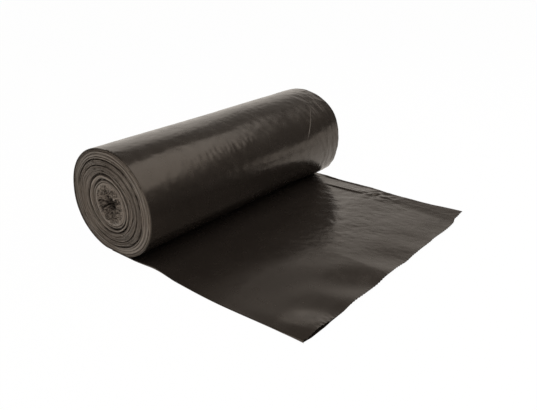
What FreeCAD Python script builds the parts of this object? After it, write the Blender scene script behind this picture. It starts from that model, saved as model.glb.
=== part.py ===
import FreeCAD, Part
import math
import os

# A roll of bin bags: one long flattened tube of plastic film, perforated across
# between the bags and wound up on itself without a core tube. The roll lies on its
# side with a small flat spot, and its outermost bag is drawn out flat on the floor.
# X runs along the free length, Y along the roll, Z up. The origin is on the floor,
# under the middle of the roll.

doc = FreeCAD.newDocument("bin_bag_roll")

# Driving dimensions, in millimetres and plain numbers
sizes = doc.addObject("Spreadsheet::Sheet", "sizes")
DIMENSIONS = [
    # The web of folded film, and the roll wound from it
    ("web_width", 302.0),
    ("film_stack", 0.6),
    ("wound_radius", 57.0),
    ("sink", 6.7),
    ("heart_shift", 3.4),
    ("heart_rise", 0.9),
    ("settle_depth", 8.0),
    ("shift_depth", 25.0),
    # Radial thickness of each group of turns, from the outside inwards
    ("rim_turns", 2.9),
    ("outer_turns", 4.6),
    ("proud_turns", 2.2),
    ("shoulder_turns", 1.5),
    ("fine_groove", 1.4),
    ("broad_turns", 4.8),
    ("crown_turns", 4.9),
    ("lip_turns", 2.3),
    ("slack_groove", 2.6),
    ("thin_ring", 5.0),
    ("heart_groove", 2.6),
    # How far each group has wandered sideways, towards the near end
    ("rim_wander", -0.9),
    ("outer_wander", 0.2),
    ("proud_wander", 1.1),
    ("shoulder_wander", 0.2),
    ("fine_wander", -1.0),
    ("broad_wander", 0.3),
    ("crown_wander", 1.0),
    ("lip_wander", 0.1),
    ("thin_wander", 0.8),
    ("heart_wander", 0.4),
    # Depth of the slack places between the groups, at both ends
    ("slack_depth", 7.0),
    ("heart_depth", 4.5),
    # The hole where the winding pin was drawn out, and the pleats round it
    ("throat_radius", 4.2),
    ("throat_pleat", 3.4),
    ("mouth_radius", 7.4),
    ("mouth_pleat", 6.8),
    ("mouth_depth", 13.0),
    ("mouth_clear", 1.0),
    ("hole_height", 0.82),
    ("pleat_count", 11),
    ("pleat_even", 0.72),
    ("pleat_uneven", 0.28),
    ("pleat_dip", 0.3),
    # The free length that lies on the floor
    ("reach", 225.0),
    ("drift", 3.6),
    ("root_strip", 30.0),
    ("edge_waist", 1.3),
    ("waist_place", 0.5),
    ("waist_half", 0.3),
    ("notch_depth", 2.2),
    ("notch_place", 100.0),
    ("notch_half", 26.0),
    # Where it stands off the floor: how high, and how far each lift spreads
    ("corner_lift", 4.0),
    ("corner_length", 66.0),
    ("mouth_open", 112.0),
    ("mouth_end", 12.0),
    ("hump_lift", 2.4),
    ("hump_half", 23.0),
    ("hump_depth", 52.0),
    ("far_lift", 1.6),
    ("far_depth", 40.0),
    ("billow_lift", 1.4),
    ("billow_pitch", 64.0),
    ("billow_slant", 0.34),
    ("billow_start", 105.0),
    ("billow_middle", 38.0),
    ("billow_half", 108.0),
    ("band_puff", 2.2),
    ("puff_half", 44.0),
    # The band folded over along the far edge, and the lower ply of the open mouth
    ("band_width", 34.0),
    ("band_stack", 0.5),
    ("band_overhang", 0.8),
    ("band_setback", 0.9),
    ("lower_ply", 0.35),
    ("ply_setback", 1.2),
]
for row, (alias, number) in enumerate(DIMENSIONS, start=1):
    sizes.set(f"A{row}", alias)
    sizes.set(f"B{row}", str(number))
    sizes.setAlias(f"B{row}", alias)
doc.recompute()


def size(alias):
    """The value of a driving dimension, for shapes that code works out."""
    return float(sizes.get(alias))


def box(name, length, width, height, x="0", y="0", z="0"):
    """A box whose sides and near lower corner are expressions of the sizes."""
    block = doc.addObject("Part::Box", name)
    block.setExpression("Length", length)
    block.setExpression("Width", width)
    block.setExpression("Height", height)
    for axis, place in (("x", x), ("y", y), ("z", z)):
        block.setExpression(f"Placement.Base.{axis}", place)
    return block


# The wound roll, as nested groups of turns. Each group is as long as the web is
# wide, so one that stands out at the near end lies back at the far end.
GROUPS = [
    # thickness, sideways wander, depth of slack
    ("rim_turns", "rim_wander", None),
    ("outer_turns", "outer_wander", None),
    ("proud_turns", "proud_wander", None),
    ("shoulder_turns", "shoulder_wander", None),
    ("fine_groove", "fine_wander", None),
    ("broad_turns", "broad_wander", None),
    ("crown_turns", "crown_wander", None),
    ("lip_turns", "lip_wander", None),
    ("slack_groove", None, "slack_depth"),
    ("thin_ring", "thin_wander", None),
    ("heart_groove", None, "heart_depth"),
    ("heart_turns", "heart_wander", None),
]
STANDING = FreeCAD.Rotation(FreeCAD.Vector(1, 0, 0), 90)


def boundary(name, depth, start):
    """The round outline of the turns at a depth below the roll's surface."""
    circle = doc.addObject("Part::Circle", name)
    circle.Placement = FreeCAD.Placement(FreeCAD.Vector(0, 0, 0), STANDING)
    circle.setExpression("Radius", f"sizes.wound_radius - ({depth})")
    shift = f"-sizes.heart_shift * min(1; ({depth}) / sizes.shift_depth)"
    rise = f"sizes.heart_rise * min(1; ({depth}) / sizes.settle_depth)"
    circle.setExpression("Placement.Base.x", shift)
    circle.setExpression("Placement.Base.y", start)
    circle.setExpression("Placement.Base.z", f"sizes.wound_radius - sizes.sink + {rise}")
    return circle


def wound_group(index, depth, thickness, wander, slack):
    """One group of turns: the ring between two circles, drawn out along the roll."""
    start = "-sizes.web_width / 2"
    length = "sizes.web_width"
    if wander:
        start += f" - sizes.{wander}"
    if slack:
        start += f" + sizes.{slack}"
        length += f" - 2 * sizes.{slack}"
    outlines = [boundary(f"{thickness}_outside", depth, start)]
    if index < len(GROUPS) - 1:
        inner = f"{depth} + sizes.{thickness}"
        outlines.append(boundary(f"{thickness}_inside", inner, start))
    face = doc.addObject("Part::Face", f"{thickness}_section")
    face.Sources = outlines
    face.FaceMakerClass = "Part::FaceMakerBullseye"
    group = doc.addObject("Part::Extrusion", thickness)
    group.Base = face
    group.DirMode = "Custom"
    group.Dir = FreeCAD.Vector(0, 1, 0)
    group.setExpression("LengthFwd", length)
    return group


groups = []
depth = "0"
for index, (thickness, wander, slack) in enumerate(GROUPS):
    groups.append(wound_group(index, depth, thickness, wander, slack))
    depth = f"{depth} + sizes.{thickness}"
wound = doc.addObject("Part::MultiFuse", "wound_turns")
wound.Shapes = groups
wound.Refine = True

# The floor presses the underside of the soft roll flat
floor = box(
    "floor",
    "4 * sizes.wound_radius",
    "2 * sizes.web_width",
    "2 * sizes.sink",
    x="-2 * sizes.wound_radius",
    y="-sizes.web_width",
    z="-2 * sizes.sink",
)
settled = doc.addObject("Part::Cut", "settled_turns")
settled.Base = wound
settled.Tool = floor

# The collapsed hole through the heart, with pleats that run out from it at each end
HEART_X = -size("heart_shift")
HEART_Z = size("wound_radius") - size("sink") + size("heart_rise")


def pleated_outline(name, y, radius, pleat):
    """A closed creased outline: sharp folds of uneven reach about the heart."""
    count = int(size("pleat_count"))
    corners = []
    for step in range(2 * count):
        turn = math.pi * step / count
        uneven = size("pleat_even") + size("pleat_uneven") * math.sin(2 * turn) * math.cos(3 * turn)
        reach = radius + pleat * uneven * (1 if step % 2 else -size("pleat_dip"))
        x = HEART_X + reach * math.cos(turn)
        z = HEART_Z + size("hole_height") * reach * math.sin(turn)
        corners.append(FreeCAD.Vector(x, y, z))
    outline = doc.addObject("Part::Feature", name)
    outline.Shape = Part.makePolygon(corners + corners[:1])
    return outline


end_y = size("web_width") / 2
throat_y = end_y - size("mouth_depth")
mouth_y = end_y + abs(size("heart_wander")) + size("mouth_clear")
hole = doc.addObject("Part::Loft", "heart_hole")
hole.Sections = [
    pleated_outline("near_mouth", -mouth_y, size("mouth_radius"), size("mouth_pleat")),
    pleated_outline("near_throat", -throat_y, size("throat_radius"), size("throat_pleat")),
    pleated_outline("far_throat", throat_y, size("throat_radius"), size("throat_pleat")),
    pleated_outline("far_mouth", mouth_y, size("mouth_radius"), size("mouth_pleat")),
]
hole.Solid = True
hole.Ruled = True
roll = doc.addObject("Part::Cut", "roll")
roll.Base = settled
roll.Tool = hole


def ramp(value, low, high):
    """0 below low, 1 above high and a smooth rise between them."""
    share = min(1.0, max(0.0, (value - low) / (high - low)))
    return share * share * (3.0 - 2.0 * share)


def bump(value, middle, half):
    """1 at the middle, falling smoothly to 0 half a width away on either side."""
    return ramp(half - abs(value - middle), 0.0, half)


def lift(x, y):
    """Height of the free length above the floor."""
    half = size("web_width") / 2
    root = size("root_strip")
    reach = size("reach")
    mouth = ramp(x, reach - size("corner_length"), reach) ** 2
    mouth *= ramp(-y, size("mouth_end"), size("mouth_open"))
    hump = bump(x, root + size("hump_half"), size("hump_half"))
    hump *= ramp(-y, half - size("hump_depth"), half)
    far = ramp(x, root, reach) * ramp(y, half - size("far_depth"), half)
    swell = ramp(x, root, root + size("billow_start"))
    swell *= bump(y, size("billow_middle"), size("billow_half"))
    across = y + size("billow_slant") * x
    swell *= (1 - math.cos(2 * math.pi * across / size("billow_pitch"))) / 2
    puff = bump(x, root + size("puff_half"), size("puff_half"))
    puff *= bump(y, half - size("band_width") / 2, size("band_width") / 2)
    height = size("corner_lift") * mouth + size("hump_lift") * hump
    height += size("far_lift") * far**2 + size("billow_lift") * swell
    return height + size("band_puff") * puff


HALF_WEB = size("web_width") / 2
DEGREE = 3


def near_edge(along):
    """The near edge drifts sideways and draws in a little at its middle."""
    waist = bump(along, size("waist_place"), size("waist_half"))
    return -HALF_WEB + size("drift") * along + size("edge_waist") * waist


def far_edge(along):
    """The far edge drifts the same way and stays straight."""
    return HALF_WEB + size("drift") * along


def front_edge(y):
    """The torn end, with the shallow notch where it caught."""
    return size("reach") - size("notch_depth") * bump(y, size("notch_place"), size("notch_half"))


def pole_places(count):
    """Where a smooth curve's control points stand along it, from 0 to 1."""
    spans = count - DEGREE
    knots = [min(max(step - DEGREE, 0), spans) for step in range(count + DEGREE + 1)]
    return [sum(knots[step + 1 : step + 1 + DEGREE]) / DEGREE / spans for step in range(count)]


def film_surface(rows, columns):
    """The underside of the free length, a smooth surface that never dips into the floor."""
    root = size("root_strip")
    poles = []
    for along in pole_places(rows):
        line = []
        for across in pole_places(columns):
            y = near_edge(along) + (far_edge(along) - near_edge(along)) * across
            x = root + (front_edge(y) - root) * along
            line.append(FreeCAD.Vector(x, y, lift(x, y)))
        poles.append(line)
    spans = (rows - DEGREE, columns - DEGREE)
    knots = [[step / count for step in range(count + 1)] for count in spans]
    multiples = [[DEGREE + 1] + [1] * (count - 1) + [DEGREE + 1] for count in spans]
    surface = Part.BSplineSurface()
    surface.buildFromPolesMultsKnots(
        poles, multiples[0], multiples[1], knots[0], knots[1], False, False, DEGREE, DEGREE
    )
    return surface


def thickened(name, surface, place, thickness):
    """A surface laid at its place and given its thickness, straight up."""
    patch = doc.addObject("Part::Feature", f"{name}_underside")
    patch.Shape = surface.toShape()
    patch.Placement = FreeCAD.Placement(FreeCAD.Vector(*place), FreeCAD.Rotation())
    film = doc.addObject("Part::Extrusion", name)
    film.Base = patch
    film.DirMode = "Custom"
    film.Dir = FreeCAD.Vector(0, 0, 1)
    film.setExpression("LengthFwd", thickness)
    return film


laid_surface = film_surface(24, 32)
laid = thickened("laid_film", laid_surface, (0, 0, 0), "sizes.film_stack")

# The band folded over along the far edge follows the film that it is half sunk in
band_surface = laid_surface.copy()
band_surface.segment(0, 1, 1 - size("band_width") / size("web_width"), 1)
band_place = (-size("band_setback"), size("band_overhang"), size("film_stack") / 2)
band_thickness = "sizes.film_stack / 2 + sizes.band_stack"
band = thickened("folded_band", band_surface, band_place, band_thickness)

# From under the roll to where the free length begins to lift, both lie dead flat
root = box(
    "film_root", "sizes.root_strip", "sizes.web_width", "sizes.film_stack", y="-sizes.web_width / 2"
)
band_root = box(
    "band_root",
    "sizes.root_strip - sizes.band_setback",
    "sizes.band_width",
    band_thickness,
    y="sizes.web_width / 2 - sizes.band_width + sizes.band_overhang",
    z="sizes.film_stack / 2",
)

# The open mouth of the bag: its lower ply stays on the floor under the lifted corner
ply = box(
    "lower_ply_corner",
    "sizes.corner_length",
    "sizes.web_width / 2 - sizes.mouth_end",
    "sizes.lower_ply",
    x="sizes.reach - sizes.corner_length - sizes.ply_setback",
    y="-sizes.web_width / 2 + sizes.drift + sizes.ply_setback / 2",
)

whole = doc.addObject("Part::MultiFuse", "bag_roll")
whole.Shapes = [roll, root, laid, band_root, band, ply]
whole.Refine = True
whole.Label = "bag_roll"
whole.Placement = FreeCAD.Placement(FreeCAD.Vector(0, 0, 0), FreeCAD.Rotation())

doc.recompute()
for item in doc.Objects:
    if "Invalid" in item.State or "Error" in item.State:
        raise RuntimeError(f"{item.Name} failed: {item.State}")

os.makedirs("parts", exist_ok=True)
for sub_part in [whole]:
    shape = sub_part.Shape
    if shape.isNull() or not shape.isValid():
        raise RuntimeError(f"{sub_part.Label} has no valid shape")
    shape.exportStep(f"parts/{sub_part.Label}.step")
    extent = shape.BoundBox
    sides = [round(side, 1) for side in (extent.XLength, extent.YLength, extent.ZLength)]
    print(sub_part.Label, "solids", len(shape.Solids), "faces", len(shape.Faces))
    print("  volume", round(shape.Volume), "size", *sides)
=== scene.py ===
# %% [markdown]
# # A roll of bin bags, with its outermost bag drawn out flat
#
# The real thing is one long tube of black film. It is blown as a tube, pressed flat,
# perforated across between the bags, and wound up on itself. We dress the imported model
# with two pieces: the wound roll, and the free length that lies on the floor.
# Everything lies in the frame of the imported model: X along the free length, Y along the
# roll, Z up, and the floor at zero. Blender works in metres and we think in millimetres,
# so a size in millimetres is multiplied by MM on its way into Blender.

import math

import bpy
import numpy as np
from mathutils import Matrix, Vector


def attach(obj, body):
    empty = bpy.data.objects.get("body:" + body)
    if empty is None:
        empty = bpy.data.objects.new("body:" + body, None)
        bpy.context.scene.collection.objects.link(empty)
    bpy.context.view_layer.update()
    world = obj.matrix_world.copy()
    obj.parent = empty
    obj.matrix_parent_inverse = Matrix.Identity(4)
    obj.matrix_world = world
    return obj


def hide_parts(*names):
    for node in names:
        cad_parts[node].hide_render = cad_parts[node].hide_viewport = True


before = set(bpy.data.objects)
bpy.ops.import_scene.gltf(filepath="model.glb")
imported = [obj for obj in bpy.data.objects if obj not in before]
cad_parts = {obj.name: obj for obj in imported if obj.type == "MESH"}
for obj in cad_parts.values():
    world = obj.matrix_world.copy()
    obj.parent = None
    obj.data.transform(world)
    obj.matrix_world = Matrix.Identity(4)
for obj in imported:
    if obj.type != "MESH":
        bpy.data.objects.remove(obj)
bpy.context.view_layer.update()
MM = 0.001

# %% [markdown]
# ## Helpers for modelling by hand
#
# An operator acts on everything that is selected, and loading leaves the model's own
# nodes selected. So each piece starts from an empty selection. Faces and edges are then
# picked in code, by where they are or which way they face, as one would click them.

# %% Empty the selection, and pick parts of a mesh


def nothing_selected():
    """Leave edit mode and let go of everything."""
    if bpy.context.object and bpy.context.object.mode != "OBJECT":
        bpy.ops.object.mode_set(mode="OBJECT")
    bpy.ops.object.select_all(action="DESELECT")


def only_selected(piece):
    """Select this piece alone and make it the active one."""
    nothing_selected()
    piece.select_set(True)
    bpy.context.view_layer.objects.active = piece


def pick(piece, kind, chosen):
    """Select the faces or edges for which chosen is true, and go to edit mode."""
    bpy.ops.object.mode_set(mode="EDIT")
    bpy.ops.mesh.select_mode(type="FACE" if kind == "polygons" else "EDGE")
    bpy.ops.mesh.select_all(action="DESELECT")
    bpy.ops.object.mode_set(mode="OBJECT")
    parts = getattr(piece.data, kind)
    flags = [bool(chosen(part)) for part in parts]
    parts.foreach_set("select", flags)
    bpy.ops.object.mode_set(mode="EDIT")
    return sum(flags)


# %% Cut long edges, settle a piece at the origin, and turn its faces outwards


def cut_long_edges(piece, axis, cuts, chosen):
    """Cut the edges that run along an axis and have both ends where chosen is true."""

    def is_long(edge):
        first, last = (piece.data.vertices[i].co for i in edge.vertices)
        return abs(first[axis] - last[axis]) > 1 * MM and chosen(first) and chosen(last)

    count = pick(piece, "edges", is_long)
    bpy.ops.mesh.subdivide(number_cuts=cuts)
    bpy.ops.object.mode_set(mode="OBJECT")
    print("cut", count, "edges of", piece.name, cuts, "times")


def named_and_settled(name):
    """Name the new primitive, and put its place and turn into its mesh."""
    piece = bpy.context.object
    piece.name = name
    piece.data.name = name
    only_selected(piece)
    bpy.ops.object.transform_apply(location=True, rotation=True, scale=True)
    return piece


def faces_outwards(piece):
    """Make every face of the piece point outwards."""
    only_selected(piece)
    bpy.ops.object.mode_set(mode="EDIT")
    bpy.ops.mesh.select_all(action="SELECT")
    bpy.ops.mesh.normals_make_consistent(inside=False)
    bpy.ops.object.mode_set(mode="OBJECT")


def count_triangles(piece):
    return sum(len(face.vertices) - 2 for face in piece.data.polygons)


# %% Read and move the vertices of a piece


def mesh_places(piece):
    """The piece's vertices, in millimetres."""
    places = np.empty(len(piece.data.vertices) * 3)
    piece.data.vertices.foreach_get("co", places)
    return places.reshape(-1, 3) / MM


def move_mesh(piece, places):
    """Put the piece's vertices at these places, in millimetres."""
    piece.data.vertices.foreach_set("co", (places * MM).ravel())
    piece.data.update()


# %% [markdown]
# ## Soft noise for film that is never quite even
#
# Thin film crinkles in patterns with a typical spacing, but no two are the same. A smooth
# random height with a chosen pitch gives billows, and folding it at zero turns it into
# sharp creases. Each corner of a grid gets its slope from its own whole numbers and a
# seed, so each run gives the same film.

# %% Smooth random heights, and sharp creases made from them
GRID_SHIFT = (64.31, 64.67, 64.47)
GRID_PRIMES = np.array([73856093, 19349663, 83492791])


def soft_noise(places, pitch, seed):
    """Smooth random heights from about -1 to 1, with bumps about a pitch apart."""
    spots = np.asarray(places) / np.asarray(pitch) + GRID_SHIFT
    cell = np.floor(spots).astype(np.int64)
    part = spots - cell
    fade = part**3 * (part * (part * 6.0 - 15.0) + 10.0)
    total = np.zeros(len(spots))
    for corner in range(8):
        offset = np.array([corner & 1, corner >> 1 & 1, corner >> 2 & 1])
        key = ((cell + offset) * GRID_PRIMES).sum(1)
        key = (key ^ (key >> 13)) * 1274126177 + seed * 668265263
        key = (key ^ (key >> 15)) * 2246822519 % 4294967296
        turn = (key & 1023) / 1023.0 * 2.0 * math.pi
        rise = (key >> 10 & 1023) / 1023.0 * 2.0 - 1.0
        flat = np.sqrt(1.0 - rise**2)
        slope = np.stack([flat * np.cos(turn), flat * np.sin(turn), rise], 1)
        reach = (slope * (part - offset)).sum(1)
        total += reach * np.where(offset, fade, 1.0 - fade).prod(1)
    return total * 1.6


def creases(places, pitch, seed):
    """Heights with sharp crests where two smooth slopes meet, as in crumpled film."""
    return 1.0 - 2.0 * np.sqrt(soft_noise(places, pitch, seed) ** 2 + 0.002)


probe = np.random.default_rng(1).uniform(0, 50, (2000, 3))
sample = soft_noise(probe, 5.0, 1)
print("noise spreads from", sample.min().round(2), "to", sample.max().round(2))

# %% Soft steps and soft bumps


def ramp(value, low, high):
    """0 at low, 1 at high, and a smooth step between them, whichever is the larger."""
    share = np.clip((value - low) / (high - low), 0.0, 1.0)
    return share * share * (3.0 - 2.0 * share)


def bump(value, middle, half):
    """1 at the middle, falling smoothly to 0 half a width away on either side."""
    return ramp(half - np.abs(value - middle), 0.0, half)


print("a ramp from 0 to 10 reads", ramp(np.array([0.0, 2.5, 5.0, 10.0]), 0.0, 10.0))

# %% [markdown]
# ## The wound roll: a round blank
#
# The roll has no core tube, so one closed body is the whole roll. We start it from a
# cylinder that lies along Y. Its section is changed later, when its turns are cut.

# %% Add the blank
RADIUS = 57.0
HALF_WEB = 151.0
AROUND = 240

nothing_selected()
bpy.ops.mesh.primitive_cylinder_add(
    vertices=AROUND,
    radius=RADIUS * MM,
    depth=2 * HALF_WEB * MM,
    end_fill_type="NGON",
    rotation=(math.pi / 2, 0, 0),
)
roll = named_and_settled("wound_roll")
print("blank", len(roll.data.polygons), "faces")

# %% [markdown]
# ## The turns at each end
#
# At the ends we see the edges of the turns. Groups of turns have wandered sideways while
# they were wound, and two slack places between them are deep dark grooves. Each turn is
# a few insets of the end face, moved a little in or out, so we walk from the rim to the
# heart with inset and move, inset and move. The first step rounds off the rim.

# %% List the groups of turns from the rim inwards
# How thick each group of turns is, how far it wanders towards the near end, and how many
# single turns show in it. A slack place has no wander, and its last number is its depth.
TURN_GROUPS = [
    (2.6, -0.6, 3),
    (6.0, 0.3, 2),
    (1.2, 1.0, 1),
    (1.6, -2.4, 1),
    (4.2, 1.0, 4),
    (1.3, -1.5, 1),
    (4.6, 1.5, 4),
    (4.7, 0.7, 3),
    (2.5, None, 5.4),
    (2.7, 0.5, 1),
    (1.9, None, 4.2),
    (1.6, 0.4, 1),
]
RIM_WIDTH = 0.45
RIM_HEIGHT = 0.35
TIGHT_TURNS = 9.0
HEART_RADIUS = RADIUS - RIM_WIDTH - sum(group[0] for group in TURN_GROUPS)
HEART_RINGS = 20
HOLE_RADIUS = 5.0
print("the turns leave a heart of", round(HEART_RADIUS, 1), "mm radius")

# %% Plan the steps of one end: how far in each goes, and how high it then stands
draw = np.random.default_rng(7)


def groove_steps(thickness, deep):
    """A slack place: down, along its floor, and up again."""
    shares = [(0.12, 0.35 * deep), (0.13, deep), (0.5, deep), (0.15, 0.5 * deep), (0.1, 0.0)]
    return [(share * thickness, height) for share, height in shares]


def turn_steps(pitch, level, loose):
    """One turn: over its rounded edge, and down into the gap behind it."""
    top = level + loose * draw.uniform(-0.45, 0.45)
    notch = draw.uniform(0.4, 0.6 + 0.9 * loose)
    shares = [(0.2, top), (0.25, top + 0.18), (0.3, top), (0.25, top - notch)]
    return [(share * pitch, height) for share, height in shares]


def end_steps(side):
    """All the steps from the rim to the hole. The outer turns are wound tighter."""
    steps = [(RIM_WIDTH, RIM_HEIGHT)]
    passed = 0.0
    for thickness, wander, count in TURN_GROUPS:
        if wander is None:
            steps += groove_steps(thickness, -count)
            continue
        passed += thickness
        loose = 0.3 if passed < TIGHT_TURNS else 1.0
        for _ in range(count):
            steps += turn_steps(thickness / count, -side * wander, loose)
    return steps + [((HEART_RADIUS - HOLE_RADIUS) / HEART_RINGS, 0.0)] * HEART_RINGS


# %% Walk from the rim to the hole with insets, at the near end and at the far end
for side in (-1, 1):
    pick(roll, "polygons", lambda face: len(face.vertices) > 4 and face.normal.y * side > 0.9)
    standing = 0.0
    for thickness, height in end_steps(side):
        bpy.ops.mesh.inset(thickness=thickness * MM, depth=0.0)
        if abs(height - standing) > 1e-4:
            bpy.ops.transform.translate(value=(0, side * (height - standing) * MM, 0))
        standing = height
    bpy.ops.object.mode_set(mode="OBJECT")
print("end turns", len(roll.data.polygons), "faces")

# %% [markdown]
# ## The hole through the heart
#
# The winding pin was drawn out sideways and left a collapsed hole. We delete the last end
# face at both ends and bridge the two open rims, which gives one passage right through.

# %% Open both hearts and bridge them
opened = pick(roll, "polygons", lambda face: len(face.vertices) > 4)
bpy.ops.mesh.delete(type="ONLY_FACE")
bpy.ops.mesh.select_mode(type="EDGE")
bpy.ops.mesh.select_all(action="DESELECT")
bpy.ops.mesh.select_non_manifold()
bpy.ops.mesh.bridge_edge_loops(number_cuts=14, interpolation="LINEAR")
bpy.ops.object.mode_set(mode="OBJECT")
print("opened", opened, "hearts,", len(roll.data.polygons), "faces")

# %% [markdown]
# ## Rings along the outside
#
# The skin of the roll will carry hollows and crinkles, and a face can't bend. So its
# long edges are cut into pieces of under two millimetres.

# %% Cut the outside into rings


def on_skin(spot):
    """True for places on the outermost turn."""
    return math.hypot(spot.x, spot.z) > (RADIUS - 0.2) * MM


for cuts in (84, 1):
    cut_long_edges(roll, 1, cuts, on_skin)

# %% [markdown]
# ## The roll settles
#
# A soft roll isn't a true cylinder. It is a little wider than high, it sags and swells
# here and there, and its heart lies off centre. No operator squashes nested rings
# evenly, so here we move the vertices in code: each keeps its turn and its angle, and
# gets a new place from them.

# %% Read where each vertex is: its angle, its depth below the skin, its place along
blank = mesh_places(roll)
angle = np.arctan2(blank[:, 2], blank[:, 0])
arc = np.degrees(angle)
bearing = arc % 360.0
radius = np.hypot(blank[:, 0], blank[:, 2])
along = blank[:, 1].copy()
depth = RADIUS - radius
outside = depth < 0.2
in_throat = (radius < HOLE_RADIUS + 0.05) & (np.abs(along) < HALF_WEB - 4.0)
on_face = ~outside & ~in_throat
ring = np.stack([np.cos(angle), np.sin(angle), np.zeros(len(angle))], 1)
print(outside.sum(), "vertices on the skin,", on_face.sum(), "on the ends,", in_throat.sum(), "inside")

# %% Let the section sag and swell
# By how much of the radius, round which bearing in degrees, how far to either side of
# it, and between which places along the roll it grows from nothing (None: all along)
SWELLS = [
    (0.054, 216.0, 46.0, None),
    (0.020, 172.0, 52.0, None),
    (0.050, 316.0, 36.0, (70.0, 148.0)),
    (0.050, 44.0, 44.0, (70.0, 148.0)),
    (0.018, 92.0, 48.0, (-60.0, 100.0)),
    (-0.011, 93.0, 36.0, (70.0, -70.0)),
]


def around(scale, per_depth, seed, lengthwise=0.0):
    """Noise that closes round each turn and drifts slowly from turn to turn."""
    spot = ring * scale
    spot[:, 2] = depth * per_depth + along * lengthwise
    return soft_noise(spot, 1.0, seed)


wobble = 0.55 * around(1.1, 0.10, 11, 0.011) + 0.22 * around(2.6, 0.22, 12, 0.02)
wobble *= 1.0 - 0.6 * outside
sag = np.zeros(len(angle))
for amount, middle, half, stretch in SWELLS:
    swell = amount * bump(bearing, middle, half)
    sag += swell if stretch is None else swell * ramp(along, *stretch)
reach = np.clip(radius + wobble * ramp(radius, 8.0, 24.0), 0.5, None)
reach *= 1.0 + sag * ramp(radius, 25.0, RADIUS)
print("the radius reaches from", reach[outside].min().round(1), "to", reach[outside].max().round(1))

# %% Squash the section and shift the heart
ROLL_BREADTH = 58.3
ROLL_HEIGHT = 54.4
ROLL_MIDDLE = 52.6
upright = 1.0 + 0.09 * ramp(depth, 20.0, 33.0)
middle_x = -3.4 * ramp(depth, 0.0, 26.0) + 1.3 * ramp(depth, 27.0, 33.0)
middle_x -= 0.6 * ramp(-along, 90.0, HALF_WEB)
middle_z = ROLL_MIDDLE - 1.4 * ramp(depth, 0.0, 26.0) - 0.8 * ramp(depth, 27.0, 33.0)
x = middle_x + reach * np.cos(angle) * ROLL_BREADTH / RADIUS
z = middle_z + reach * np.sin(angle) * upright * ROLL_HEIGHT / RADIUS
print("the roll is", np.ptp(x).round(1), "mm across and", np.ptp(z).round(1), "mm high")

# %% [markdown]
# ## The crumpled heart
#
# The innermost turns have buckled into pleats that run out from the hole, with pits
# between them, and the hole itself is a ragged star. The pleats are creased noise that
# is read round the ring, so that each pleat runs inwards.

# %% Pleat the heart and sink its pits
PLEATED_RADIUS = 20.8


def round_ring(scale, per_radius):
    """Where to read noise that changes round the ring, and slowly from turn to turn."""
    return np.stack([ring[:, 0] * scale, ring[:, 1] * scale, radius * per_radius], 1)


end_place = np.stack([x, z, 0 * x + along], 1)
pleats = creases(round_ring(5.2, 0.06), 1.0, 21)
fine_pleats = creases(round_ring(10, 0.13), 1.0, 22)
crumple = creases(np.stack([x, z, 0 * x], 1), 5.0, 23)
flakes = creases(end_place, (3.4, 2.6, 60.0), 27)
pits = ramp(soft_noise(end_place, (4.4, 3.8, 80.0), 26), 0.05, 0.30)
outwards = 1.8 * pleats + 1.3 * fine_pleats + 1.2 * crumple + 1.6 * flakes - 1.8
outwards = outwards * ramp(PLEATED_RADIUS - radius, 0.0, 5.5)
outwards -= 5.4 * pits * ramp(16.2 - radius, 0.0, 4.5)
outwards -= 3.8 * ramp(11.5 - radius, 0.0, 4.5)
outwards = outwards * on_face
print("the heart lies from", outwards.min().round(1), "to", outwards.max().round(1), "mm")

# %% Give the hole its ragged outline
star = 1.0 + 0.42 * creases(ring * 2.6, 1.0, 24) + 0.25 * creases(ring * 5.0, 1.0, 25)
star_share = ramp(14.5 - radius, 0.0, 8.5)
throat = 0.55 + 0.35 * ramp(np.abs(along), 120.0, 150.0)
squeeze = np.where(in_throat, star * throat, 1.0 + (star - 1.0) * star_share)
x = middle_x + (x - middle_x) * squeeze
z = middle_z + (z - middle_z) * (squeeze * (1.0 - 0.12 * star_share))
print("the hole is squeezed to between", squeeze.min().round(2), "and", squeeze.max().round(2))

# %% [markdown]
# ## Uneven turns
#
# Along each turn the edge comes and goes by a few tenths of a millimetre, and every
# group of turns leans its own way. At the near end one group has slipped inwards on the
# side of the free length.

# %% Let the turns' edges wander
lean = 0.9 * around(0.8, 0.16, 31) + 0.5 * around(2.2, 0.6, 32) + 0.22 * around(7.0, 1.6, 33)
slipped = 2.4 * bump(np.abs(arc - 2.0), 0.0, 46.0) * bump(radius, 34.5, 5.0)
lean -= slipped * (along < 0)
face_share = ramp(depth, 0.3, 3.0) * ramp(radius, 10.0, 22.0)
y = along + np.sign(along) * (lean * face_share + outwards) * on_face
print("the turns lean by up to", np.abs(lean * face_share).max().round(1), "mm")

# %% [markdown]
# ## The outer skin
#
# The film on the outside is tight but not smooth: long shallow hollows that break up
# the highlights, small crinkles, wrinkles round the far end, scuffs along the middle of
# the visible side, and one sharp crease.

# %% Wrinkle the outside
skin = np.stack([x, along, z], 1)
slant = skin + np.stack([0 * x, 0.45 * arc, 0 * x], 1)
tight = ramp(HALF_WEB - np.abs(along), 0.0, 6.0)
far_end = ramp(along, 92.0, 146.0)
hollows = 0.34 * soft_noise(skin, (34.0, 120.0, 34.0), 41)
hollows += 0.10 * soft_noise(skin, (14.0, 38.0, 14.0), 42)
crinkle = 0.09 * creases(slant, (8.0, 12.0, 8.0), 43)
crinkle += 0.07 * soft_noise(slant, (5.0, 6.0, 5.0), 44)
hoops = 0.36 * creases(slant, (34.0, 9.0, 34.0), 45)
hoops += 0.22 * soft_noise(slant, (12.0, 6.0, 12.0), 46)
scuffs = creases(skin, (14.0, 4.2, 14.0), 47) * bump(arc, 36.0 - 0.1 * along, 11.0)
scuffs *= ramp(-along, -70.0, 10.0)
top_creases = creases(slant, (5.0, 7.0, 5.0), 48) * bump(arc, 79.0, 13.0)
bulge = (hollows + crinkle * (0.4 + tight * 0.6) + hoops * far_end) * outside
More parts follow.
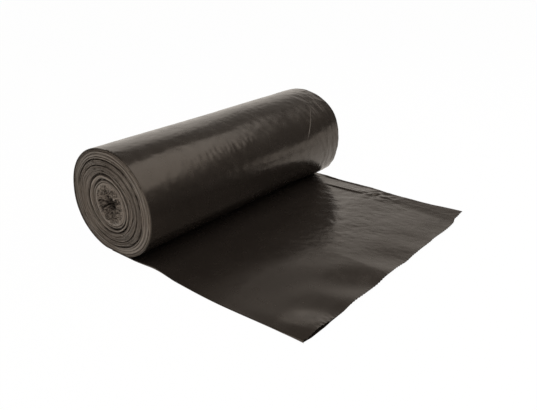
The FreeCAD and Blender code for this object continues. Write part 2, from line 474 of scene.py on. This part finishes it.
bulge += (0.20 * scuffs + 0.12 * top_creases) * outside
x += bulge * np.cos(angle)
z += bulge * np.sin(angle)
print("the skin bulges by up to", np.abs(bulge).max().round(2), "mm")

# %% [markdown]
# ## Flat on the floor
#
# The floor presses the underside flat, and the turns above it lie closer together. The
# free length comes out from under the roll, so the roll stands on it there.

# %% Press the underside flat
FILM_STACK = 0.65
PRESSED_TURNS = 9.0
SOFTNESS = 0.5
bed = (FILM_STACK + 0.15) * ramp(x, -40.0, -8.0)
lowest = bed + 0.6 * np.clip(depth, 0.0, PRESSED_TURNS)
pressed = lowest + np.logaddexp(0.0, (z - lowest) / SOFTNESS) * SOFTNESS
pressed -= SOFTNESS * math.log(2) * (z < lowest)
z = np.where((depth < PRESSED_TURNS) & (z - lowest <= 6.0), pressed, z)
z = np.maximum(z, bed)
move_mesh(roll, np.stack([x, y, z], 1))
faces_outwards(roll)
bpy.ops.object.shade_smooth_by_angle(angle=math.radians(50))
print("wound roll", count_triangles(roll), "triangles")

# %% [markdown]
# ## What the mesh tells the materials
#
# Some marks are finer than the mesh, but have to follow it: the lines of the turns, the
# painted shade on the outer turns, the fine hoops at the far end and the one sharp crease.
# For each the mesh carries a number at every vertex, and a material reads it as an attribute.

# %% Store the attributes of the roll
CREASE_ALONG = 94.4
CREASE_ARC = 25.3
CREASE_SLANT = 0.876
marks = {
    "turn": depth,
    "crease_side": (along - CREASE_ALONG) - (arc - CREASE_ARC) * CREASE_SLANT,
    "crease_share": bump(arc, 34.0, 19.0) ** 0.5 * bump(along, 101.0, 24.0) ** 0.5 * outside,
    "hoop_share": ramp(along, 108.0, 132.0) * outside,
    "heart_share": ramp(PLEATED_RADIUS - radius, 0.0, 2.5),
    # Painted shade: darkens the colour of the outer turns on the side away from the free length
    "painted_shade_outer_left": ramp(depth, 12.0, 5.0) * np.clip(-np.cos(angle), 0.0, 1.0),
}
for name, values in marks.items():
    attribute = roll.data.attributes.new(name, "FLOAT", "POINT")
    attribute.data.foreach_set("value", values.astype(np.float32))
print("stored", ", ".join(marks))

# %% [markdown]
# ## The free length: a blown tube, pressed flat
#
# The bag that is drawn out is itself a flattened tube, with a rounded fold along each
# long edge and an open mouth at the torn end. So we start it as it is made, from an open
# tube, and cut its long edges into rings.

# %% Add the open tube
TOP_COLUMNS = 292
FOLD_COLUMNS = 7
BOTTOM_COLUMNS = 34
COLUMNS = TOP_COLUMNS + BOTTOM_COLUMNS + 2 * FOLD_COLUMNS
ROOT_X = -7.0
REACH = 225.0

nothing_selected()
bpy.ops.mesh.primitive_cylinder_add(
    vertices=COLUMNS,
    radius=96 * MM,
    depth=(REACH - ROOT_X) * MM,
    end_fill_type="NOTHING",
    rotation=(0, math.pi / 2, 0),
)
tail = named_and_settled("free_length")
for cuts in (69, 1):
    cut_long_edges(tail, 0, cuts, lambda spot: True)
tube = mesh_places(tail)
print("tube", len(tail.data.polygons), "faces")

# %% [markdown]
# ## Flatten it on the floor
#
# Each lengthwise line of the tube gets its place across the web: most of them on the
# upper ply, a few round each folded edge, and the rest on the lower ply underneath. The
# heights of the upper ply are measured from the floor.

# %% Where each line of the tube goes
column = np.round(np.arctan2(tube[:, 2], tube[:, 1]) / (2 * math.pi) * COLUMNS)
column = column.astype(int) % COLUMNS
if tube[column == 1][:, 2].mean() < 0:
    column = (COLUMNS - column) % COLUMNS
forward = (tube[:, 0] - tube[:, 0].min()) / (tube[:, 0].max() - tube[:, 0].min())
is_top = column <= TOP_COLUMNS
is_far_fold = (column > TOP_COLUMNS) & (column < TOP_COLUMNS + FOLD_COLUMNS)
is_bottom = (column >= TOP_COLUMNS + FOLD_COLUMNS) & (column <= COLUMNS - FOLD_COLUMNS)
is_near_fold = column > COLUMNS - FOLD_COLUMNS
# How far across the web a line lies, from 0 at the near edge to 1 at the far edge
across = 1.0 - np.select(
    [is_top, is_far_fold, is_bottom],
    [
        1.0 - column / TOP_COLUMNS,
        0.0 * column,
        (column - TOP_COLUMNS - FOLD_COLUMNS) / BOTTOM_COLUMNS,
    ],
    1.0,
)
fold_turn = np.select(
    [is_far_fold, is_near_fold],
    [
        (column - TOP_COLUMNS) / FOLD_COLUMNS * math.pi,
        (COLUMNS - column) / FOLD_COLUMNS * math.pi,
    ],
    0.0,
)
print("vertices on the upper ply", is_top.sum(), "and on the lower ply", is_bottom.sum())

# %% [markdown]
# ## The outline of the web
#
# Its long edges aren't straight: the near one bows and the far one is drawn in where the
# film has buckled. The torn end runs askew, with a notch where it caught and a clipped
# near corner.

# %% Draw the two long edges and the torn end


def lengthwise(px):
    """How far along the free length these places are, from 0 to 1."""
    return (px - ROOT_X) / (REACH - ROOT_X)


def near_side(px):
    """Where the near edge of the web runs at these places along it, in millimetres."""
    wave = 2.2 * bump(px, 55.0, 31.0) - 3.0 * bump(lengthwise(px), 0.60, 0.37)
    return -HALF_WEB + 3.4 * lengthwise(px) + wave


def far_side(px):
    """Where the far edge runs: it is drawn in where the film has buckled."""
    drawn_in = 3.2 * ramp(px, 30.0, 58.0) + 8.4 * ramp(px, 100.0, 140.0)
    drawn_in -= 6.4 * ramp(px, 176.0, 225.0)
    return HALF_WEB + 3.4 * lengthwise(px) - drawn_in - 1.1 * bump(px, 104.0, 34.0)


def torn_end(py):
    """How far the torn end reaches, with the notch where it caught."""
    slant_share = np.clip((py + 148.0) / 158.0, 0.0, 1.0)
    bow = 1.0 * bump(py, 104.0, 24.0)
    notch = 1.9 * ramp(py, 122.5, 124.5)
    ragged = 0.45 * soft_noise(np.stack([py, 0 * py, 0 * py], 1), 13.0, 51)
    corner = 1.8 * ramp(-py, 144.5, 149.0)
    return REACH + 0.3 + 3.6 * slant_share + bow - notch + ragged - corner


level_x = ROOT_X + (REACH - ROOT_X) * forward
tail_y = near_side(level_x) + (far_side(level_x) - near_side(level_x)) * across
tail_x = ROOT_X + (torn_end(tail_y) - ROOT_X) * forward
print("the outline spans", np.ptp(tail_x).round(1), "by", np.ptp(tail_y).round(1), "mm")

# %% [markdown]
# ## The shape of the upper ply
#
# It lies almost flat, and black gloss shows every slope of it, so we add it up from
# small parts. A little air is left in the tube, and low billows run up to the torn end.

# %% Air and billows
flat = np.stack([tail_x, tail_y, 0 * tail_x], 1)
# The same places turned by about 34 degrees, for crinkles that run askew
askew = np.stack([0.83 * tail_x + 0.55 * tail_y, 0.83 * tail_y - 0.55 * tail_x, 0 * tail_x], 1)


def air_inside(px, py):
    """Heights of the air in the tube, which falls away gently towards both edges."""
    fall = np.clip((py + 148.0) / 124.0, 0.0, 1.0)
    fall -= 0.55 * np.clip((py + 24.0) / 147.0, 0.0, 1.0)
    fullest = 146.0 + 44.0 * bump(py, -30.0, 60.0)
    return 5.4 * fall * ramp(px, 62.0, fullest) * (1.0 - 0.45 * ramp(px, 182.0, 226.0))


def billows(px, py):
    """Heights of the billows that run up to the torn end."""
    drift = 7.0 * soft_noise(flat, 60.0, 61)
    phase = (py + 84.0 - 0.47 * (px - 215.0) + drift) / 57.0
    share = ramp(py, -150.0, -104.0) * (0.45 + 0.55 * ramp(py, 10.0, -40.0))
    share *= ramp(py, 78.0, 44.0) * ramp(px, 165.0, 220.0)
    return 1.7 * (0.5 + 0.5 * np.cos(2 * math.pi * phase)) * share


def slow_waves(px, py):
    """Heights of slow waves beside the roll and towards the far edge."""
    by_the_roll = 1.6 * bump(px, 50.0, 27.0) * ramp(-py, 108.0, 151.0)
    farther = ramp(px, 60.0, 130.0) * ramp(py, -60.0, 20.0)
    return by_the_roll + 0.5 * soft_noise(flat, (60.0, 34.0, 1.0), 62) * farther


top_height = FILM_STACK + slow_waves(tail_x, tail_y)
top_height += air_inside(tail_x, tail_y) + billows(tail_x, tail_y)
print("air and billows stand", top_height.max().round(1), "mm high")

# %% [markdown]
# ## Crinkles and creases
#
# Fine crinkles cover the part that was pulled hardest, next to the far half of the roll.
# A few single creases run in from the edges: one inside the folded band, two from the
# nick in the near edge, and one near the mouth.

# %% Crinkles and single creases


def fine_crinkles(px, py):
    """Heights of the crinkles where the film was pulled hardest."""
    pulled = ramp(px + 0.62 * py, 66.0, 118.0) * ramp(py, -70.0, 10.0)
    pulled *= 1.0 - 0.5 * ramp(px, 150.0, 205.0)
    fine = 0.10 * creases(askew, (7.0, 5.0, 1.0), 63)
    fine += 0.08 * soft_noise(askew, (5.0, 4.0, 1.0), 64)
    fine += 0.07 * creases(askew, (9.0, 3.6, 1.0), 72)
    fine += 0.24 * soft_noise(askew, (17.0, 11.0, 1.0), 69)
    return fine * pulled


def single_creases(px, py):
    """Heights of the creases that run in from the edges."""
    inner = bump(py - 116.5 + 0.08 * (px - 150.0), 0.0, 1.6) * bump(px, 170.0, 48.0)
    nick = bump(px - 30.0 + 0.28 * (py + 150.0), 0.0, 1.8) * ramp(-py, 96.0, 140.0)
    nick += bump(px - 88.0 - 0.30 * (py + 150.0), 0.0, 1.8) * ramp(-py, 108.0, 150.0)
    by_mouth = bump(px - 134.0 - 0.45 * (py + 118.0), 0.0, 1.7) * bump(py, -118.0, 17.0)
    return 0.1 * inner + 0.2 * nick + 0.2 * by_mouth


top_height += fine_crinkles(tail_x, tail_y) + single_creases(tail_x, tail_y)
print("with crinkles it stands", top_height.max().round(1), "mm high")

# %% [markdown]
# ## The folded band
#
# A band along the far edge is folded over. Beside the roll it is a puffed ridge with
# fine streaks, and its edge curls up. Further out the ridge ends in crumples, and the
# band slopes up to the far edge.

# %% Fold the band along the far edge


def folded_band(px, py):
    """Heights of the ridge, of the curled edge and of the slope beyond them."""
    free = ramp(px, 24.0, 60.0)
    line = 125.0 - 4.0 * ramp(px, 110.0, 160.0) + 1.2 * soft_noise(flat, (30.0, 1e3, 1.0), 65)
    ridge = ramp(py, line - 1.5, line + 1.3)
    ridge *= 1.0 - np.clip((py - line - 1.6) / 19.0, 0.0, 1.0)
    streak_place = np.stack([0.3 * px, py + 0.12 * px, 0 * px], 1)
    streaks = 0.25 * soft_noise(streak_place, (9.0, 2.6, 1.0), 71) * ramp(py, line, line + 3.0)
    band = (1.5 * ridge + streaks) * ramp(px, 52.0, 86.0) * ramp(px, 136.0, 100.0)
    curl = (0.9 + 0.8 * bump(px, 42.0, 26.0)) * ramp(px, 150.0, 100.0)
    band += curl * ramp(far_side(px) - py, 3.4, 0.4)
    slope = 0.09 * np.logaddexp(0.0, (py - line + 1.0) / 1.5) * 1.5
    return free * band + ramp(px, 96.0, 138.0) * slope


def crumples(px, py):
    """Heights of the crumples where the ridge runs out."""
    folds = 1.3 * creases(askew, (13.0, 6.0, 1.0), 66)
    folds += 0.6 * soft_noise(flat, (8.0, 6.0, 1.0), 67)
    return folds * bump(px, 130.0, 38.0) * bump(py, 128.0, 20.0)


top_height += folded_band(tail_x, tail_y) + crumples(tail_x, tail_y)
print("with the band it stands", top_height.max().round(1), "mm high")

# %% [markdown]
# ## The open mouth and the lower ply
#
# Beside the near corner the mouth stands open by a few millimetres, and its crumpled lip
# turns down again. Elsewhere the lower ply clings to the upper one, and lifts with it
# where the end stands off the floor. A half round joins the two along each long edge.

# %% Open the mouth, and lay the lower ply under the upper one
PLY_GAP = 0.85


def open_mouth(px, py):
    """How far the upper ply stands off the lower one beside the near corner."""
    gap = 1.5 * ramp(px, 150.0, 212.0) + 3.0 * ramp(px, 188.0, 225.0)
    gap *= ramp(-py, 90.0, 136.0) * (1.0 - 0.6 * ramp(-py, 136.0, 153.0))
    lip = ramp(px, 217.0, 225.5) * bump(py, -120.0, 20.0)
    gap -= lip * (0.7 - 0.6 * creases(flat, (6.0, 5.5, 1.0), 68))
    return np.maximum(gap, 0.0)


mouth = open_mouth(tail_x, tail_y)
top_height = np.maximum(top_height, 0.55) + mouth
under = np.clip(top_height - mouth - PLY_GAP, 0.0, None) * ramp(tail_x, 180.0, 214.0)
fold_reach = np.clip(0.5 * (top_height - under), 0.25, 1.0)
folded = is_far_fold | is_near_fold
upper_share = np.where(folded, 0.5 + 0.5 * np.cos(fold_turn), 1.0 - is_bottom)
tail_z = under + (top_height - under) * upper_share
tail_y = tail_y + np.where(is_far_fold, 1.0, -1.0) * folded * fold_reach * np.sin(fold_turn)
print("the mouth stands open by up to", mouth.max().round(1), "mm")

# %% [markdown]
# ## The torn edge
#
# The bag was torn off along a row of perforations, so both plies end in tiny teeth, and
# the lower ply lies a little further back than the upper one.

# %% Tear the end
teeth = np.random.default_rng(5).uniform(0.1, 0.5, COLUMNS + 1)[column // 2]
teeth = np.where(column // 2 % 2 == 0, teeth, -0.2)
last = ramp(forward, 0.985, 1.0)
tail_x -= last * teeth * 0.8
tail_z += last * teeth * 0.25 * is_top
tail_x -= 0.6 * is_bottom * last
move_mesh(tail, np.stack([tail_x, tail_y, tail_z], 1))
print("free length spans", np.ptp(tail_x).round(1), "by", np.ptp(tail_y).round(1), "mm")

# %% [markdown]
# ## The film's thickness
#
# The tube so far is a skin with nothing to it. A Solidify modifier gives it a wall, a
# little thicker than the real film so that its edges can be seen.

# %% Give the film its thickness
FILM_PLY = 0.16
faces_outwards(tail)
wall = tail.modifiers.new("ply", "SOLIDIFY")
wall.thickness = FILM_PLY * MM
wall.offset = -1.0
bpy.ops.object.modifier_apply(modifier="ply")
bpy.ops.object.shade_smooth_by_angle(angle=math.radians(60))
print("free length", count_triangles(tail), "triangles")

# %% [markdown]
# ## Helpers for materials
#
# A material is a small network of nodes. These helpers add one node each and hand on its
# output, so that a finish reads as a few lines of plain steps.

# %% Start a material and add nodes to it


def new_material(name):
    """A material with only an output and a Principled shader in it."""
    material = bpy.data.materials.new(name)
    material.use_nodes = True
    nodes = material.node_tree.nodes
    nodes.clear()
    shader = nodes.new("ShaderNodeBsdfPrincipled")
    output = nodes.new("ShaderNodeOutputMaterial")
    material.node_tree.links.new(shader.outputs["BSDF"], output.inputs["Surface"])
    return material, shader


def add_node(material, kind, inputs=(), **settings):
    """A node with its settings, and numbers or links for its inputs."""
    node = material.node_tree.nodes.new(kind)
    for setting, value in settings.items():
        setattr(node, setting, value)
    for socket, value in dict(inputs).items():
        if isinstance(value, bpy.types.NodeSocket):
            material.node_tree.links.new(value, node.inputs[socket])
        else:
            node.inputs[socket].default_value = value
    return node


def link(material, output, shader, socket):
    material.node_tree.links.new(output, shader.inputs[socket])


# %% Read an attribute or noise, and reckon with them


def read_mark(material, name):
    """The number that the mesh carries under this name."""
    return add_node(material, "ShaderNodeAttribute", attribute_name=name).outputs["Fac"]


def noise_at(material, place, **sizes):
    """Noise read at a place."""
    inputs = {"Vector": place, **sizes}
    return add_node(material, "ShaderNodeTexNoise", inputs).outputs["Fac"]


def noise_on(material, pitch, detail=2.0, stretch=(1.0, 1.0, 1.0)):
    """Noise on Object coordinates, with features about a pitch in millimetres across."""
    place = add_node(material, "ShaderNodeTexCoord").outputs["Object"]
    scale = tuple(part / (pitch * MM) for part in stretch)
    mapping = add_node(material, "ShaderNodeMapping", {"Vector": place, "Scale": scale})
    return noise_at(material, mapping.outputs["Vector"], Scale=1.0, Detail=detail)


def reckon(material, operation, *values):
    """One step of arithmetic with numbers or links."""
    inputs = dict(enumerate(values))
    return add_node(material, "ShaderNodeMath", inputs, operation=operation).outputs["Value"]


def spread(material, value, low, high, start=0.3, end=0.7):
    """The value, moved from start..end to low..high."""
    inputs = {"Value": value, "From Min": start, "From Max": end, "To Min": low, "To Max": high}
    return add_node(material, "ShaderNodeMapRange", inputs).outputs["Result"]


def tinted(material, value, dark, pale):
    """A colour between dark and pale."""
    blend = add_node(material, "ShaderNodeValToRGB", {"Fac": value})
    blend.color_ramp.elements[0].color = (*dark, 1)
    blend.color_ramp.elements[1].color = (*pale, 1)
    return blend.outputs["Color"]


def bumped(material, height, strength, distance, **below):
    """Normals bumped by a height, with its distance in millimetres."""
    inputs = {"Height": height, "Strength": strength, "Distance": distance * MM, **below}
    return add_node(material, "ShaderNodeBump", inputs).outputs["Normal"]


# %% [markdown]
# ## Finish: black film
#
# Bin bag film is a very dark brown-black with a haze, and almost all that one sees of it
# is what it reflects. So its colour is nearly flat, and the work is in how rough it is
# from place to place and in the finest crinkles, which a mesh would be too heavy for.

# %% Build the film's material
PLASTIC_IOR = 1.5
WARM_GLOSS = (1.0, 0.86, 0.73, 1)
FILM_DARK = (0.0115, 0.0092, 0.0078)
FILM_PALE = (0.0165, 0.0134, 0.0114)

film, film_shader = new_material("black_film")
haze = noise_on(film, 38.0, 3.0)
link(film, tinted(film, haze, FILM_DARK, FILM_PALE), film_shader, "Base Color")
link(film, spread(film, noise_on(film, 11.0, 4.0), 0.19, 0.29), film_shader, "Roughness")
film_shader.inputs["IOR"].default_value = PLASTIC_IOR
film_shader.inputs["Specular Tint"].default_value = WARM_GLOSS
crinkled = bumped(film, noise_on(film, 5.5, 3.0, (1.0, 0.7, 1.0)), 0.5, 0.075)
grained = bumped(film, noise_on(film, 1.3, 2.0), 0.35, 0.02, Normal=crinkled)
print("the haze and grain take", len(film.node_tree.nodes), "nodes")

# %% Add the sharp crease and the fine hoops of the far end
off_line = reckon(film, "ABSOLUTE", read_mark(film, "crease_side"))
crest = spread(film, off_line, 1.0, 0.0, 0.0, 0.9)
crest = reckon(film, "MULTIPLY", crest, read_mark(film, "crease_share"))
fine_hoops = noise_on(film, 2.6, 1.0, (0.06, 1.0, 0.06))
fine_hoops = reckon(film, "MULTIPLY", fine_hoops, read_mark(film, "hoop_share"))
crest = reckon(film, "MULTIPLY_ADD", fine_hoops, 0.9, crest)
link(film, bumped(film, crest, 1.0, 0.35, Normal=grained), film_shader, "Normal")
print("film material has", len(film.node_tree.nodes), "nodes")

# %% [markdown]
# ## Finish: edges of the turns
#
# At the ends of the roll we look on hundreds of cut film edges. They scatter light, so
# they look paler and less glossy than the film's face. Fine lines follow each turn; they are
# read from the depth of the turn, which the mesh carries as an attribute, so they stay
# with the turns wherever those wander. The heart has scraps instead of lines. Shade is
# painted into the colour of the outer turns on the side away from the free length, and
# thin pale glints are painted along some of the lines.

# %% Read the lines of the turns
edges, edge_shader = new_material("film_edges")
wander = spread(edges, noise_on(edges, 16.0, 2.0), -0.5, 0.5)
drifted = reckon(edges, "ADD", read_mark(edges, "turn"), wander)
line_place = add_node(edges, "ShaderNodeCombineXYZ", {"X": drifted}).outputs["Vector"]
lines = noise_at(edges, line_place, Scale=0.75, Detail=3.0)
fine_lines = noise_at(edges, line_place, Scale=2.4, Detail=2.0)
turn_lines = reckon(edges, "MULTIPLY", reckon(edges, "ADD", lines, fine_lines), 0.5)
scraps = noise_on(edges, 2.4, 2.0)
mixed = {0: read_mark(edges, "heart_share"), 2: turn_lines, 3: scraps}
blend = add_node(edges, "ShaderNodeMix", mixed).outputs[0]
print("the lines take", len(edges.node_tree.nodes), "nodes")

# %% Colour the edges, with painted shade and painted glints, and give them their gloss
EDGE_DARK = (0.016, 0.0138, 0.012)
EDGE_PALE = (0.175, 0.149, 0.128)
# Painted shade: the outer turns on the side away from the free length are darkened in the colour
shaded_blend = reckon(edges, "MULTIPLY_ADD", read_mark(edges, "painted_shade_outer_left"), -0.09, blend)
tone = spread(edges, shaded_blend, 0.0, 1.0, 0.40, 0.60)
# Painted glints: thin pale lines added to the edges' colour as highlights
painted_glint_lines = noise_at(edges, line_place, Scale=0.62, Detail=1.0, Roughness=0.8)
tone = reckon(edges, "ADD", tone, spread(edges, painted_glint_lines, 0.0, 0.5, 0.56, 0.62))
link(edges, tinted(edges, tone, EDGE_DARK, EDGE_PALE), edge_shader, "Base Color")
link(edges, spread(edges, noise_on(edges, 6.0, 2.0), 0.28, 0.42), edge_shader, "Roughness")
edge_shader.inputs["IOR"].default_value = PLASTIC_IOR
edge_shader.inputs["Specular Tint"].default_value = WARM_GLOSS
link(edges, bumped(edges, turn_lines, 0.8, 0.22), edge_shader, "Normal")
print("edge material has", len(edges.node_tree.nodes), "nodes")

# %% [markdown]
# ## Put the finishes on
#
# The outside of the roll is film, and the faces inside the rim are edges. A face belongs
# to the ends where its vertices have left the outermost turn.

# %% Assign the materials
roll.data.materials.append(film)
roll.data.materials.append(edges)
tail.data.materials.append(film)
end_faces = [min(depth[list(face.vertices)]) > 0.3 for face in roll.data.polygons]
roll.data.polygons.foreach_set("material_index", [int(flag) for flag in end_faces])
roll.data.update()
print("edge faces", sum(end_faces))

# %% [markdown]
# ## What each piece rides on and stands for
#
# Nothing moves, so both pieces ride on the one body. Together they stand for the one
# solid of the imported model. The free length is a sheet: a tube 604 mm round, pressed to
# a web 302 mm wide, of which about 232 mm is drawn out.

for piece in (roll, tail):
    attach(piece, "root")
    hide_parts("bag_roll")
print("declared", roll.name, "and", tail.name)

# %% [markdown]
# ## Floor and sky
#
# A black glossy thing is seen by what it mirrors, so the surroundings matter more than
# the lamps. The floor and the sky are white to the camera and in reflections. They give
# that white only to those rays, so that it puts no more light on the roll, and the floor
# still keeps the roll's shadow.

# %% Tell the rays that show the background from those that light the roll
WARM_WHITE = (1.07, 1.0, 0.92, 1)


def background_rays(tree):
    """1 for the rays that show the background: seen straight, in gloss or through glass."""
    path = tree.nodes.new("ShaderNodeLightPath")
    value = path.outputs["Is Camera Ray"]
    for name in ("Is Glossy Ray", "Is Transmission Ray"):
        most = tree.nodes.new("ShaderNodeMath")
        most.operation = "MAXIMUM"
        tree.links.new(value, most.inputs[0])
        tree.links.new(path.outputs[name], most.inputs[1])
        value = most.outputs["Value"]
    return value


def background_colour(tree):
    """White as the camera sees it, and the lamps' slightly warm white in gloss."""
    path = tree.nodes.new("ShaderNodeLightPath")
    blend = tree.nodes.new("ShaderNodeMix")
    blend.data_type = "RGBA"
    colours = [socket for socket in blend.inputs if socket.type == "RGBA"]
    colours[0].default_value = WARM_WHITE
    colours[1].default_value = (1, 1, 1, 1)
    tree.links.new(path.outputs["Is Camera Ray"], blend.inputs[0])
    return next(socket for socket in blend.outputs if socket.type == "RGBA")


# %% Make a flat rectangle that is part of the stage


def flat_card(name, width, height, place, turn):
    """A flat rectangle of these sizes in metres, at its place and turned."""
    nothing_selected()
    bpy.ops.mesh.primitive_plane_add(size=1.0)
    card = bpy.context.object
    card.name = name
    sized = Matrix.Diagonal((width, height, 1.0, 1.0))
    card.data.transform(Matrix.Translation(Vector(place)) @ turn.to_4x4() @ sized)
    return card


# %% Lay the floor
FLOOR_SIZE = 16.0
FLOOR_PLACE = (0, 0, -0.3 * MM)
FLOOR_GREY = (0.86, 0.86, 0.86, 1)
FLOOR_GLOW = 0.98
floor = flat_card("floor", FLOOR_SIZE, FLOOR_SIZE, FLOOR_PLACE, Matrix.Identity(3))
floor_material = bpy.data.materials.new("pale_floor")
floor_material.use_nodes = True
tree = floor_material.node_tree
tree.nodes.clear()
matte = tree.nodes.new("ShaderNodeBsdfDiffuse")
matte.inputs["Color"].default_value = FLOOR_GREY
glow = tree.nodes.new("ShaderNodeEmission")
tree.links.new(background_colour(tree), glow.inputs["Color"])
glow_share = tree.nodes.new("ShaderNodeMath")
glow_share.operation = "MULTIPLY"
tree.links.new(background_rays(tree), glow_share.inputs[0])
glow_share.inputs[1].default_value = FLOOR_GLOW
mix = tree.nodes.new("ShaderNodeMixShader")
tree.links.new(glow_share.outputs["Value"], mix.inputs[0])
tree.links.new(matte.outputs["BSDF"], mix.inputs[1])
tree.links.new(glow.outputs["Emission"], mix.inputs[2])
floor_output = tree.nodes.new("ShaderNodeOutputMaterial")
tree.links.new(mix.outputs["Shader"], floor_output.inputs["Surface"])
floor.data.materials.append(floor_material)
print("floor of", FLOOR_SIZE, "m")

# %% Hang the sky
WORLD_LIGHT = 0.45
world = bpy.data.worlds.new("white_surroundings")
bpy.context.scene.world = world
world.use_nodes = True
tree = world.node_tree
sky = tree.nodes["Background"]
tree.links.new(background_colour(tree), sky.inputs["Color"])
strength = tree.nodes.new("ShaderNodeMapRange")
tree.links.new(background_rays(tree), strength.inputs["Value"])
strength.inputs["To Min"].default_value = WORLD_LIGHT
strength.inputs["To Max"].default_value = 1.0
tree.links.new(strength.outputs["Result"], sky.inputs["Strength"])
print("the sky lights the roll at", WORLD_LIGHT)

# %% [markdown]
# ## Grey cards
#
# A photographer shapes the reflections in black gloss with cards that stay out of the
# picture. So do we: six cards show only in reflections. The large dark one overhead gives
# the dark band on the roll and the dark part of the free length. The others darken the
# underside of the roll, its end and the free length beside it, or set off the highlight
# along the top.

# %% Make a card that shows only in reflections


def grey_card(name, width, height, place, turn, level):
    """A card of one grey that shows only in reflections."""
    card = flat_card(name, width, height, place, turn)
    material = bpy.data.materials.new(name)
    material.use_nodes = True
    nodes = material.node_tree.nodes
    nodes.clear()
    grey = nodes.new("ShaderNodeEmission")
    grey.inputs["Color"].default_value = [level * part for part in WARM_WHITE[:3]] + [1]
    output = nodes.new("ShaderNodeOutputMaterial")
    material.node_tree.links.new(grey.outputs["Emission"], output.inputs["Surface"])
    card.data.materials.append(material)
    card.visible_camera = False
    card.visible_diffuse = False
    card.visible_shadow = False
    card.visible_transmission = False


# %% Find the places and turns of the two cards that hang
VIEW_YAW = math.radians(39.13)
CARD_HEIGHT = 1.5
OVERHEAD_SIZE = 6.0
OVERHEAD_EDGE = math.radians(38.5)
STRIP_BEARING = math.radians(28.5)
STRIP_AWAY = 2.19
view_turn = Matrix.Rotation(VIEW_YAW, 3, "Z")
strip_turn = Matrix.Rotation(STRIP_BEARING, 3, "Z")
# The overhead card's edge is seen at a fixed height above the horizon, straight ahead
backward = Vector((-math.sin(VIEW_YAW), math.cos(VIEW_YAW), 0))
edge_away = CARD_HEIGHT / math.tan(OVERHEAD_EDGE)
overhead_place = backward * (edge_away - OVERHEAD_SIZE / 2) + Vector((0, 0, CARD_HEIGHT))
strip_x = -STRIP_AWAY * math.sin(STRIP_BEARING)
strip_place = (strip_x, STRIP_AWAY * math.cos(STRIP_BEARING), CARD_HEIGHT)
print("the overhead card starts", round(edge_away, 2), "m away")

# %% Put up the six cards around the roll
level_turn = Matrix.Identity(3)
standing_turn = Matrix.Rotation(math.pi / 2, 3, "X")
across_turn = Matrix.Rotation(math.pi / 2, 3, "Z") @ standing_turn
# Name, width and height in metres, place, turn, and how light its grey is
CARDS = [
    ("overhead_card", OVERHEAD_SIZE, OVERHEAD_SIZE, overhead_place, view_turn, 0.23),
    ("right_card", 3.4, 1.35, (1.55, 1.3, 0.825), standing_turn, 0.12),
    ("back_card", 2.1, 1.5, (-0.73, 3.0, 1.35), standing_turn, 0.8),
    ("strip_card", 1.08, 0.61, strip_place, strip_turn, 0.45),
    ("low_card", 0.76, 0.16, (0.40, -0.05, 0.08), across_turn, 0.05),
    ("front_card", 0.168, 0.76, (0.316, -0.05, 0.0002), level_turn, 0.05),
]
for card in CARDS:
    grey_card(*card)
print("put up", len(CARDS), "cards")

# %% [markdown]
# ## One soft light overhead
#
# A large soft box hangs above and to the right. Its edge is what draws the long soft
# band on the roll, and it lights the floor so that white stays white.

# %% Hang the soft box
SOFT_BOX_LEVEL = 1.8
SOFT_BOX_SIZE = (1.85, 1.95)
SOFT_BOX_PLACE = (0.90, 0.0, 1.0)
lamp_data = bpy.data.lights.new("soft_box", "AREA")
lamp_data.shape = "RECTANGLE"
lamp_data.color = (1.0, 0.97, 0.93)
lamp_data.size, lamp_data.size_y = SOFT_BOX_SIZE
lamp_data.energy = SOFT_BOX_LEVEL * math.pi * lamp_data.size * lamp_data.size_y
lamp = bpy.data.objects.new("soft_box", lamp_data)
bpy.context.collection.objects.link(lamp)
lamp.location = SOFT_BOX_PLACE
lamp.visible_camera = False
print("soft box gives", round(lamp_data.energy, 1), "W")

# %% [markdown]
# ## The camera
#
# It stands to the front right of the roll and looks down at about 24 degrees. Its place
# and lens were found by fitting the roll's two ends and the corners of the free length.

# %% Set the camera
VIEW_PITCH = math.radians(24.48)
VIEW_ROLL = math.radians(0.25)
CAMERA_PLACE = (0.4237, -0.4367, 0.2747)
LENS = 38.2
SENSOR_WIDTH = 36.0
camera_data = bpy.data.cameras.new("camera")
camera_data.lens = LENS
camera_data.sensor_width = SENSOR_WIDTH
camera_data.clip_end = 50.0
camera = bpy.data.objects.new("camera", camera_data)
bpy.context.collection.objects.link(camera)
camera.location = CAMERA_PLACE
ahead = backward * math.cos(VIEW_PITCH) - Vector((0, 0, math.sin(VIEW_PITCH)))
right = Vector((math.cos(VIEW_YAW), math.sin(VIEW_YAW), 0))
upward = right.cross(ahead)
unrolled = Matrix((right, upward, -ahead)).transposed()
camera.rotation_euler = (unrolled @ Matrix.Rotation(VIEW_ROLL, 3, "Z")).to_euler()
bpy.context.scene.camera = camera
bpy.context.scene.view_settings.view_transform = "Standard"
print("camera at", CAMERA_PLACE)
